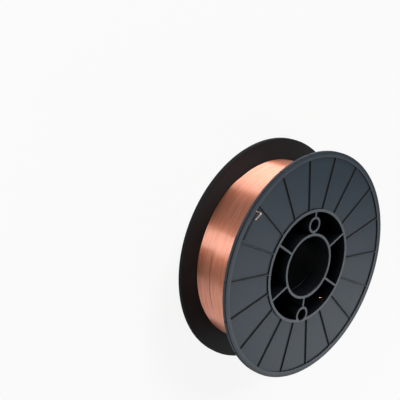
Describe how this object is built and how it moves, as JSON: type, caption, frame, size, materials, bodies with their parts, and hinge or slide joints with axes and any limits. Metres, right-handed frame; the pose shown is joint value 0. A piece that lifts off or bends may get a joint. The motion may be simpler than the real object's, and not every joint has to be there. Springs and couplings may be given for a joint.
{
  "type": "mig welding wire spool",
  "caption": "Moulded plastic wire spool with ribbed flanges, a spoked hollow hub and drive holes, wound with copper-coated solid welding wire.",
  "frame": {"origin": "centre of the hub bore, halfway across the spool's width", "axes": "+Z along the bore axis, up towards the front flange with the wire's bent end, the spool lying on its back flange; +Y towards the clock's twelve, which is the top when the spool stands on its rims"},
  "size_m": [0.2, 0.2, 0.0584],
  "materials": {
    "spool_plastic": "dark grey moulded plastic, fine matt texture",
    "copper_coated_wire": "copper-coated drawn steel wire, satin"
  },
  "bodies": {
    "root": {"spool_body": "spool_plastic", "welding_wire": "copper_coated_wire"}
  },
  "joints": []
}
